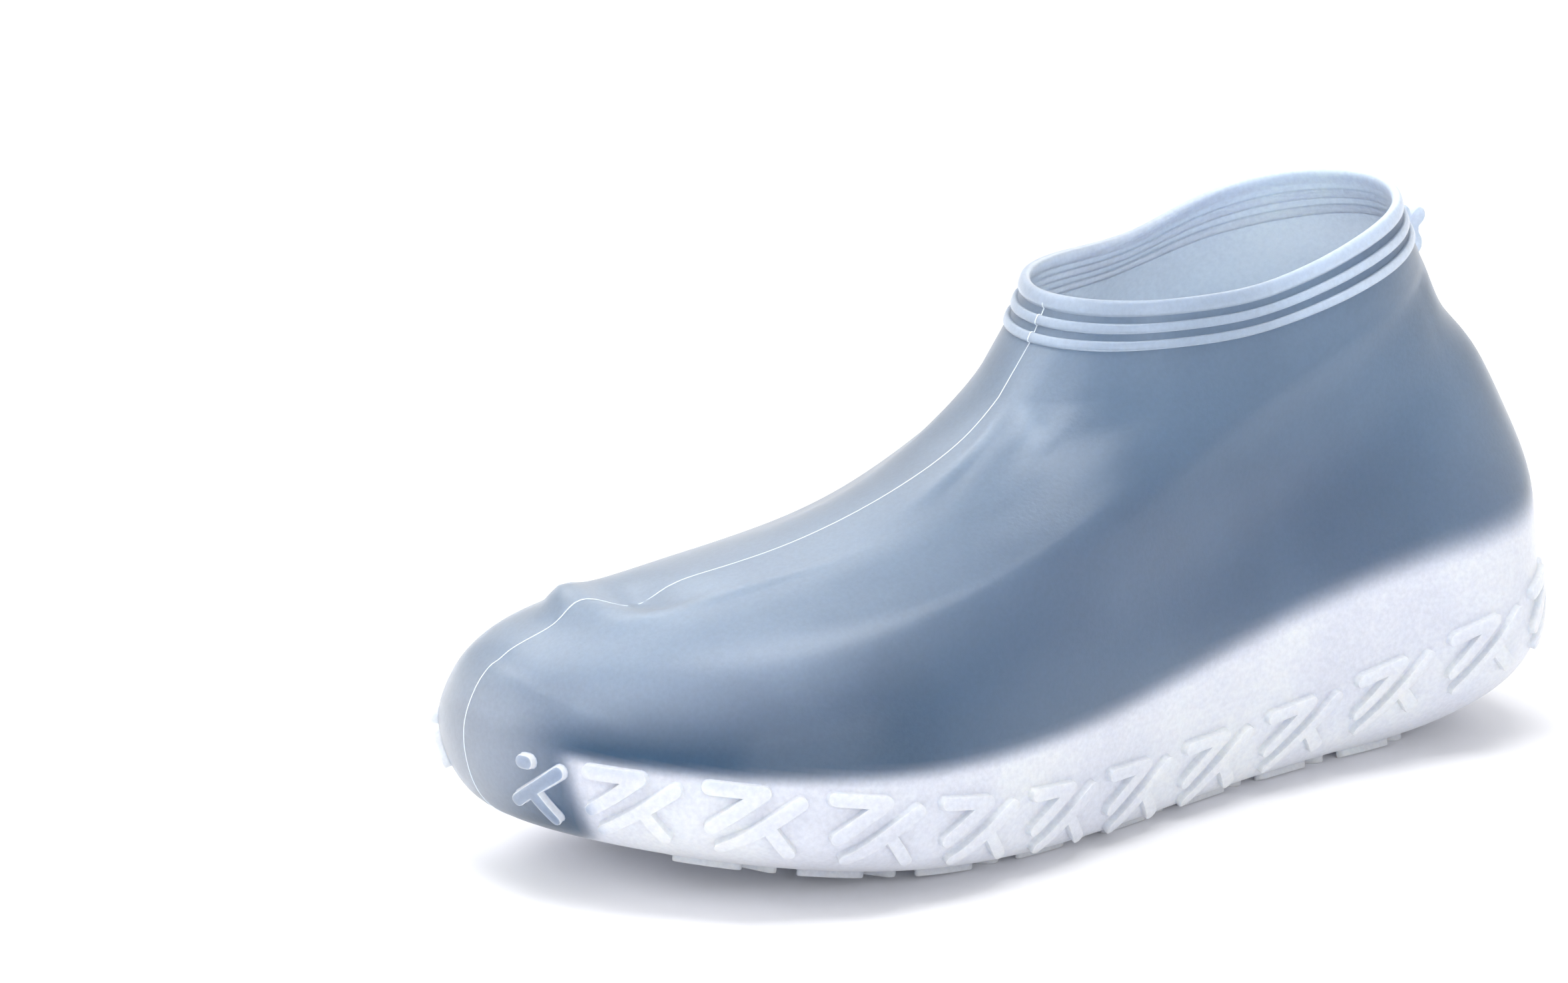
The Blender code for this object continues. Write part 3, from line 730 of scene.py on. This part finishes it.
def make_carrier(name, side, line, clear=0.0):
    """A strip of the wall that a row of marks is laid on, and its length along the row.

    Its corners know where they are in the flat row, and which way is out.
    """
    angles = np.linspace(STRIP_MARGIN, math.pi - STRIP_MARGIN, STRIP_COLUMNS)
    angles = angles[sole_half(side * angles) > clear]
    skin = Skin(side * angles)
    middle = line(skin)
    steps = np.linalg.norm(np.diff(skin.at_run(middle), axis=0), axis=-1)
    along = np.concatenate([[0], np.cumsum(steps)])
    rises = np.linspace(-BAND_REACH, BAND_REACH, STRIP_ROWS)
    points = np.stack([skin.at_run(middle + rise) for rise in rises])
    outward = np.stack([skin.outward(middle + rise) for rise in rises])
    rows, columns = points.shape[:2]
    starts = [r * columns + c for r in range(rows - 1) for c in range(columns - 1)]
    faces = [(i, i + 1, i + columns + 1, i + columns) for i in starts]
    data = bpy.data.meshes.new(name)
    data.from_pydata(points.reshape(-1, 3).tolist(), [], faces)
    place = np.zeros((rows, columns, 3))
    place[..., 0] = along / along[-1]
    place[..., 1] = ((rises + BAND_REACH) / (2 * BAND_REACH))[:, None]
    for label, values in (("place", place), ("outward", outward)):
        layer = data.attributes.new(label, "FLOAT_VECTOR", "POINT")
        layer.data.foreach_set("vector", values.astype(np.float32).ravel())
    return add_object(name, data), along[-1]


def new_tree(name, **inputs):
    """An empty Geometry Nodes tree that takes geometry and named inputs of the given kinds."""
    tree = bpy.data.node_groups.new(name, "GeometryNodeTree")
    for label, kind in (("Geometry", "Geometry"), *inputs.items()):
        tree.interface.new_socket(label, in_out="INPUT", socket_type="NodeSocket" + kind)
    tree.interface.new_socket("Geometry", in_out="OUTPUT", socket_type="NodeSocketGeometry")
    return tree


def marks_tree():
    """Repeats a flat motif along a row and lays it on the carrier strip."""
    tree = new_tree("row_of_marks", Motif="Object", First="Float", Pitch="Float", Length="Float",
                    Reach="Float", Count="Int", Material="Material")
    given = add_node(tree, "NodeGroupInput").outputs
    motif = add_node(tree, "GeometryNodeObjectInfo", {"Object": given["Motif"]})
    first = add_node(tree, "ShaderNodeCombineXYZ", {"X": given["First"]})
    pitch = add_node(tree, "ShaderNodeCombineXYZ", {"X": given["Pitch"]})
    line = add_node(tree, "GeometryNodeMeshLine", {
        "Count": given["Count"], "Start Location": first.outputs[0], "Offset": pitch.outputs[0]})
    placed = add_node(tree, "GeometryNodeInstanceOnPoints", {
        "Points": line.outputs[0], "Instance": motif.outputs["Geometry"]})
    real = add_node(tree, "GeometryNodeRealizeInstances", {"Geometry": placed.outputs[0]})
    here = add_node(tree, "GeometryNodeInputPosition").outputs[0]
    flat = add_node(tree, "ShaderNodeSeparateXYZ", {0: here}).outputs
    along = add_node(tree, "ShaderNodeMath", {0: flat["X"], 1: given["Length"]}, operation="DIVIDE")
    band = add_node(tree, "ShaderNodeMath", {0: given["Reach"], 1: 2.0}, operation="MULTIPLY")
    lifted = add_node(tree, "ShaderNodeMath", {0: flat["Y"], 1: given["Reach"]}, operation="ADD")
    up = add_node(tree, "ShaderNodeMath", {0: lifted.outputs[0], 1: band.outputs[0]},
                  operation="DIVIDE")
    where = add_node(tree, "ShaderNodeCombineXYZ", {"X": along.outputs[0], "Y": up.outputs[0]})
    found = []
    place = add_node(tree, "GeometryNodeInputNamedAttribute", {"Name": "place"},
                     data_type="FLOAT_VECTOR").outputs[0]
    outward = add_node(tree, "GeometryNodeInputNamedAttribute", {"Name": "outward"},
                       data_type="FLOAT_VECTOR").outputs[0]
    for value in (here, outward):
        sample = add_node(tree, "GeometryNodeSampleUVSurface", data_type="FLOAT_VECTOR")
        for name, source in (("Mesh", given["Geometry"]), ("Value", value),
                             ("Source UV Map", place), ("Sample UV", where.outputs[0])):
            tree.links.new(source, sample.inputs[name])
        found.append(sample.outputs[0])
    offset = add_node(tree, "ShaderNodeVectorMath", {0: found[1], "Scale": flat["Z"]},
                      operation="SCALE")
    target = add_node(tree, "ShaderNodeVectorMath", {0: found[0], 1: offset.outputs[0]},
                      operation="ADD")
    laid = add_node(tree, "GeometryNodeSetPosition", {
        "Geometry": real.outputs[0], "Position": target.outputs[0]})
    whole = add_node(tree, "GeometryNodeRealizeInstances", {"Geometry": laid.outputs[0]})
    dressed = add_node(tree, "GeometryNodeSetMaterial", {
        "Geometry": whole.outputs[0], "Material": given["Material"]})
    add_node(tree, "NodeGroupOutput", {"Geometry": dressed.outputs[0]})
    return tree


def evaluated_mesh(item):
    """The mesh that an object's modifiers make, on its own."""
    bpy.context.view_layer.update()
    graph = bpy.context.evaluated_depsgraph_get()
    return bpy.data.meshes.new_from_object(item.evaluated_get(graph), depsgraph=graph)


def run_tree(item, tree, values):
    """Runs a tree on an object with its inputs set, and returns the mesh that it makes."""
    modifier = item.modifiers.new(tree.name, "NODES")
    modifier.node_group = tree
    for socket in tree.interface.items_tree:
        if socket.in_out == "INPUT" and socket.name in values:
            modifier[socket.identifier] = values[socket.name]
    made = evaluated_mesh(item)
    item.modifiers.clear()
    return made


def lay_row(tree, motif, carrier, length, first, end, count=None):
    """Lays one row of motifs and returns its mesh, its faces pointing outwards."""
    if count is None:
        count = int((end - first - LAST_MARK) / MOTIF_PITCH) + 1
    return run_tree(carrier, tree, {
        "Motif": motif, "First": first, "Pitch": MOTIF_PITCH, "Length": length,
        "Reach": BAND_REACH, "Count": count, "Material": bar_silicone})


motif = make_motif("motif_form", (SEVEN, FORK))
toe_motif = make_motif("toe_motif_form", (TOE_STUD, TOE_FORK))
row_tree = marks_tree()
lug_mesh = bmesh.new()
room_for_three = TREAD_INSET + 1.5 * (MOTIF_HEIGHT + LUG_WIDTH)
scrap = [motif, toe_motif]
for row_side, row_line, row_clear in ((1, grip_line, 0.0), (-1, grip_line, 0.0),
                                      (1, edge_line, TREAD_CLEAR), (-1, edge_line, TREAD_CLEAR),
                                      (1, centre_line, room_for_three)):
    carrier, row_length = make_carrier("row_carrier", row_side, row_line, row_clear)
    rows_of_marks = [(motif, 0.0, row_length, None)]
    if row_line is grip_line:
        rows_of_marks = [(motif, GRIP_START + MOTIF_PITCH, row_length - GRIP_END_GAP, None),
                         (toe_motif, GRIP_START, row_length, 1)]
    for shape, start, end, count in rows_of_marks:
        laid_mesh = lay_row(row_tree, shape, carrier, row_length, start, end, count)
        lug_mesh.from_mesh(laid_mesh)
        bpy.data.meshes.remove(laid_mesh)
    scrap.append(carrier)
lugs = to_object("lug_forms", lug_mesh, 1)

# The moulding. All of the above comes out of the tool as one piece, so it is joined into one
# closed body. Where it is thick, where painted shade darkens it and where it is pale is kept on
# the mesh for the material.
for form in (tab, lugs):
    join = shell.modifiers.new(form.name, "BOOLEAN")
    join.operation = "UNION"
    join.object = form
    join.solver = "MANIFOLD"
shell.data.materials.append(wall_silicone)
shell.data.materials.append(bar_silicone)
joined = evaluated_mesh(shell)
shell.modifiers.clear()
shell.data = joined
for item in scrap + [tab, lugs]:
    bpy.data.objects.remove(item)

count = len(joined.vertices)
points = np.empty(count * 3, np.float32)
joined.vertices.foreach_get("co", points)
points = points.reshape(-1, 3).astype(float)
print("moulding:", count, "points,", len(joined.polygons), "faces")

# The pale band reaches up to a line that rises towards the heel, and ends short of the toe. Above
# it the sides carry the deepest painted shade, and the painted shade fades, as painted light,
# towards the ridge of the foot and the collar, at the heel and the toe, and where a fold stands
# off; in a dip it is painted darker.
BAND_TOP = (0.266, 0.226, 0.239, 0.336, 0.410)
BAND_BLUR = 0.0035
HEEL_BLUR = 2.2 * BAND_BLUR
LOWEST_CREST = 0.01
BAND_TOE = -0.472
BAND_TOE_CURVE = 18.0
PALE_FROM = (0.10, 0.45)
PALE_TO = (0.65, 1.55)
ANKLE_SPAN = (0.08, 0.42)
HEEL_PALE = 0.45
HEEL_SPAN = (0.80, 0.98)
TOE_PALE = 0.38
TOE_SPAN = (0.0, 0.045)
TOE_VEIL = 0.55
TOE_VEIL_LENGTH = 0.010
ANKLE_PALE = 0.20
FRONT_RIB = 0.55
FRONT_RIB_SPAN = (0.60, 0.85)
COLLAR_LOW = FRONT_RIM_HEIGHT - 0.03
LOOSE_PALE = 0.42
LOOSE_FULL = 0.0007
DIP_DEEP = 0.2
SHARP_EDGE = math.radians(38)
share = points[:, 0] / LENGTH + 0.5
band_top = through(np.linspace(0, 1, len(BAND_TOP)), BAND_TOP, share) * BACK_RIM_HEIGHT
toe_end = BAND_TOE * LENGTH + BAND_TOE_CURVE * (band_top - points[:, 2]) ** 2
band_blur = BAND_BLUR / 2 + HEEL_BLUR * share
band = 1 - smooth_step(-BAND_BLUR / 2, band_blur, points[:, 2] - band_top)
band *= smooth_step(-BAND_BLUR / 2, BAND_BLUR / 2, points[:, 0] - toe_end)
ridge = Skin([0.0]).points[:, 0]
ridge = ridge[np.argmin(ridge[:, 0]):]
rim_height = between(ridge[-1, 2], BACK_RIM_HEIGHT,
                     smooth_step(ridge[-1, 0], LENGTH / 2, points[:, 0]))
crest = np.where(points[:, 0] > ridge[-1, 0], rim_height,
                 np.interp(points[:, 0], ridge[:, 0], ridge[:, 2]))
rise = (points[:, 2] - band_top) / np.maximum(crest - band_top, LOWEST_CREST)
ankle = smooth_step(*ANKLE_SPAN, share)
pale_from, pale_to = between(*PALE_FROM, ankle), between(*PALE_TO, ankle)
# Painted shade: darkest low on the sides, painted paler up towards the ridge, the heel, the toe and
# the ankle.
deep = 1 - smooth_step(pale_from, pale_to, rise)
deep *= 1 - HEEL_PALE * smooth_step(*HEEL_SPAN, share)
deep *= 1 - TOE_PALE * (1 - smooth_step(*TOE_SPAN, share))
deep *= 1 - ANKLE_PALE * ankle
loose = np.empty(count, np.float32)
joined.attributes["loose"].data.foreach_get("value", loose)
# Painted light and shade on the folds: paler where a fold stands out, darker in a dip.
deep = np.clip(deep - LOOSE_PALE * np.clip(loose / LOOSE_FULL, -DIP_DEEP, 1), 0, 1)
for label, values in (("band", band), ("deep", deep)):
    layer = joined.attributes.new(label, "FLOAT", "POINT")
    layer.data.foreach_set("value", values.astype(np.float32))
rib, within = np.empty(count, np.float32), np.empty(count, np.float32)
joined.attributes["rib"].data.foreach_get("value", rib)
joined.attributes["inside"].data.foreach_get("value", within)
high = points[:, 2] > COLLAR_LOW
# The collar's ribs are paled less at the front, so more painted shade shows through them there.
rib *= np.where(high, between(FRONT_RIB, 1.0, smooth_step(*FRONT_RIB_SPAN, share)), 1.0)
veil = 1 - smooth_step(0.0, TOE_VEIL_LENGTH, points[:, 0] - points[:, 0].min())
within = np.maximum(within, TOE_VEIL * veil)
for label, values in (("rib", rib), ("inside", within)):
    joined.attributes[label].data.foreach_set("value", values.astype(np.float32))
joined.set_sharp_from_angle(angle=SHARP_EDGE)

# The origin lies on the floor under the middle of the finished form, as in the frame.
shift = -(points.min(axis=0) + points.max(axis=0)) / 2
shift[2] = 0.0
joined.transform(Matrix.Translation(shift))
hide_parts("overshoe")
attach(shell, "root")

# Parting line. A hair of silicone creeps between the halves of the tool and leaves a fine raised
# line along the toe, up the instep to the lip, and again down the back of the heel.
FLASH_WIDTH = 0.00036
FLASH_COLOUR = "#E4EBF4"
FLASH_SINK = 0.00008
FLASH_DEPTH = 0.0002
FLASH_ROUGHNESS = 0.42
FLASH_SIDES = 6
FLASH_LIP_ROWS = 5
Flash = namedtuple("Flash", "name angle lowest highest steps")
FLASHES = (
    Flash("parting_line_front", 0.0, 0.15, 10.0, 150),
    Flash("parting_line_back", math.pi, 0.15, 7.9, 90),
)


def flash_points(angle, lowest, highest, count):
    """Points up one column of the wall, over its folds and ribs."""
    skin = Skin([angle])
    top = skin.run[-1]
    line = []
    for level in np.linspace(lowest, min(highest, HIGHEST_LEVEL), count):
        run = level_run(skin, level)
        height = slack(level, np.array([angle]))[:, None] - FLASH_SINK
        line.append((skin.at_run(run) + skin.outward(run) * height)[0])
    if highest > HIGHEST_LEVEL:
        for below, proud in collar_profile()[:2 * RIB_STEPS + FLASH_LIP_ROWS]:
            line.append((skin.at_run(top - below) + skin.outward(top - below) * proud)[0])
    return [tuple(point + shift) for point in line]


def flash_tree():
    """A thin round bead along a path."""
    tree = new_tree("bead_along_path", Radius="Float", Material="Material")
    given = add_node(tree, "NodeGroupInput").outputs
    path = add_node(tree, "GeometryNodeMeshToCurve", {"Mesh": given["Geometry"]})
    ring = add_node(tree, "GeometryNodeCurvePrimitiveCircle", {
        "Resolution": FLASH_SIDES, "Radius": given["Radius"]})
    bead = add_node(tree, "GeometryNodeCurveToMesh", {
        "Curve": path.outputs[0], "Profile Curve": ring.outputs[0], "Fill Caps": True})
    real = add_node(tree, "GeometryNodeRealizeInstances", {"Geometry": bead.outputs[0]})
    dressed = add_node(tree, "GeometryNodeSetMaterial", {
        "Geometry": real.outputs[0], "Material": given["Material"]})
    add_node(tree, "NodeGroupOutput", {"Geometry": dressed.outputs[0]})
    return tree


def make_flash(name, tree, material, line):
    """One parting line as a bead on the wall, riding on the body."""
    data = bpy.data.meshes.new(name)
    data.from_pydata(line, [(i, i + 1) for i in range(len(line) - 1)], [])
    item = add_object(name, data)
    made = run_tree(item, tree, {"Radius": FLASH_WIDTH / 2, "Material": material})
    item.data = made
    mesh = bmesh.new()
    mesh.from_mesh(made)
    bmesh.ops.remove_doubles(mesh, verts=mesh.verts, dist=1e-6)
    bmesh.ops.recalc_face_normals(mesh, faces=mesh.faces)
    mesh.to_mesh(made)
    mesh.free()
    made.shade_smooth()
    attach(item, "root")


# The same rubber, torn off rough, so the eye gets a hair line that is whiter than the wall.
flash_silicone = bpy.data.materials.new("silicone_rubber_flash")
flash_silicone.use_nodes = True
flash_surface = flash_silicone.node_tree.nodes["Principled BSDF"]
flash_where = add_node(flash_silicone.node_tree, "ShaderNodeTexCoord").outputs["Object"]
flash_grain = add_node(flash_silicone.node_tree, "ShaderNodeTexNoise", {
    "Vector": flash_where, "Scale": 1 / GRAIN_SIZE, "Detail": 2.0})
flash_tint = add_node(flash_silicone.node_tree, "ShaderNodeMix", {
    0: flash_grain.outputs[0], 6: linear(FLASH_COLOUR), 7: linear(RIB_COLOUR)}, data_type="RGBA")
flash_silicone.node_tree.links.new(flash_tint.outputs[2], flash_surface.inputs["Base Color"])
flash_surface.inputs["Roughness"].default_value = FLASH_ROUGHNESS
flash_surface.inputs["IOR"].default_value = SILICONE_IOR
flash_surface.inputs["Subsurface Weight"].default_value = 1.0
flash_surface.inputs["Subsurface Radius"].default_value = SCATTER_SHARES
flash_surface.inputs["Subsurface Scale"].default_value = FLASH_DEPTH
bead_tree = flash_tree()
for flash in FLASHES:
    path = flash_points(flash.angle, flash.lowest, flash.highest, flash.steps)
    make_flash(flash.name, bead_tree, flash_silicone, path)

# Studio. A plain matt floor, pale enough to burn out white, sweeps up behind into a wall. Large
# soft boxes light it from above, behind and both sides, and a white world fills the shadows.
FLOOR_COLOUR = "#F4F4F6"
FLOOR_WIDTH = 6.0
FLOOR_FRONT = 2.6
FLOOR_BACK = 1.6
SWEEP_RADIUS = 0.9
WALL_TOP = 3.2
SWEEP_STEPS = 16
FLOOR_TURN = math.radians(-34)
FLOOR_ROUGHNESS = 0.9
WORLD_COLOUR = "#FFFFFF"
WORLD_STRENGTH = 0.60
floor_mesh = bmesh.new()
profile = [(-FLOOR_FRONT, 0.0), (FLOOR_BACK, 0.0)]
for step in range(1, SWEEP_STEPS + 1):
    turn = math.pi / 2 * step / SWEEP_STEPS
    profile.append((FLOOR_BACK + SWEEP_RADIUS * math.sin(turn),
                    SWEEP_RADIUS * (1 - math.cos(turn))))
profile.append((FLOOR_BACK + SWEEP_RADIUS, WALL_TOP))
floor_rings = [[floor_mesh.verts.new((x, y, z)) for y, z in profile]
               for x in (-FLOOR_WIDTH / 2, FLOOR_WIDTH / 2)]
for i in range(len(profile) - 1):
    floor_mesh.faces.new((floor_rings[0][i], floor_rings[1][i],
                          floor_rings[1][i + 1], floor_rings[0][i + 1]))
floor_data = bpy.data.meshes.new("studio_floor")
floor_mesh.to_mesh(floor_data)
floor_mesh.free()
floor_data.transform(Matrix.Rotation(FLOOR_TURN, 4, "Z"))
floor_data.shade_smooth()
floor = add_object("studio_floor", floor_data)
floor_paint = bpy.data.materials.new("matt_paint")
floor_paint.use_nodes = True
paint = floor_paint.node_tree.nodes["Principled BSDF"]
paint.inputs["Base Color"].default_value = linear(FLOOR_COLOUR)
paint.inputs["Roughness"].default_value = FLOOR_ROUGHNESS
floor_data.materials.append(floor_paint)

world = bpy.data.worlds.new("studio")
bpy.context.scene.world = world
world.use_nodes = True
sky = world.node_tree.nodes["Background"]
sky.inputs["Color"].default_value = linear(WORLD_COLOUR)
sky.inputs["Strength"].default_value = WORLD_STRENGTH
bpy.context.scene.view_settings.view_transform = "Standard"

AIM = np.array((0.0, 0.0, 0.06))
Light = namedtuple("Light", "name turn rise distance width height power")
LIGHTS = (
    Light("back_softbox", -165.0, 50.0, 1.9, 2.0, 1.1, 23.0),
    Light("top_softbox", -30.0, 84.0, 1.6, 1.1, 0.6, 14.0),
    Light("side_softbox", 130.0, 36.0, 2.0, 1.2, 0.8, 5.0),
    Light("low_softbox", -15.0, 16.0, 2.2, 1.8, 1.0, 15.0),
    Light("toe_softbox", -95.0, 38.0, 2.0, 1.5, 1.0, 10.0),
)


def facing(direction, away):
    """A turn that points -Z of a light along a direction."""
    back = -np.array(direction, float)
    back /= np.linalg.norm(back)
    side = np.cross(away, back)
    side /= np.linalg.norm(side)
    up = np.cross(back, side)
    return Matrix((side, up, back)).transposed()


for light in LIGHTS:
    turn, rise = math.radians(light.turn - 90), math.radians(light.rise)
    place = AIM + light.distance * np.array((math.cos(turn) * math.cos(rise),
                                             math.sin(turn) * math.cos(rise), math.sin(rise)))
    lamp = bpy.data.lights.new(light.name, "AREA")
    lamp.shape = "RECTANGLE"
    lamp.size = light.width
    lamp.size_y = light.height
    lamp.energy = light.power
    item = add_object(light.name, lamp)
    item.matrix_world = Matrix.Translation(place) @ facing(AIM - place, (0, 0, 1)).to_4x4()

# Camera. It looks from the toe end of the outer side, a little down, as the picture does, through
# a long lens. The seen point on the object falls on the seen pixel of the picture.
PICTURE_WIDTH = 2354
PICTURE_HEIGHT = 1476
SENSOR = 36.0
CAMERA_TURN = -34.27
CAMERA_RISE = 14.82
CAMERA_DISTANCE = 1.45503
FOCAL_PIXELS = 8839.2
NEAREST = 0.05
FARTHEST = 30.0
SEEN_POINT = np.array((shift[0], shift[1], 0.0618))
SEEN_PIXEL = (1530.49, 822.96)
turn, rise = math.radians(CAMERA_TURN), math.radians(CAMERA_RISE)
back = np.array((math.sin(turn) * math.cos(rise), -math.cos(turn) * math.cos(rise),
                 math.sin(rise)))
right = np.array((math.cos(turn), math.sin(turn), 0.0))
up = np.cross(back, right)
across = (SEEN_PIXEL[0] - PICTURE_WIDTH / 2) / FOCAL_PIXELS * CAMERA_DISTANCE
down = (SEEN_PIXEL[1] - PICTURE_HEIGHT / 2) / FOCAL_PIXELS * CAMERA_DISTANCE
place = SEEN_POINT - (right * across - up * down - back * CAMERA_DISTANCE)
lens = bpy.data.cameras.new("camera")
lens.sensor_width = SENSOR
lens.lens = FOCAL_PIXELS / PICTURE_WIDTH * SENSOR
lens.clip_start = NEAREST
lens.clip_end = FARTHEST
camera = add_object("camera", lens)
camera.matrix_world = (Matrix.Translation(place)
                       @ Matrix((right, up, back)).transposed().to_4x4())
bpy.context.scene.camera = camera
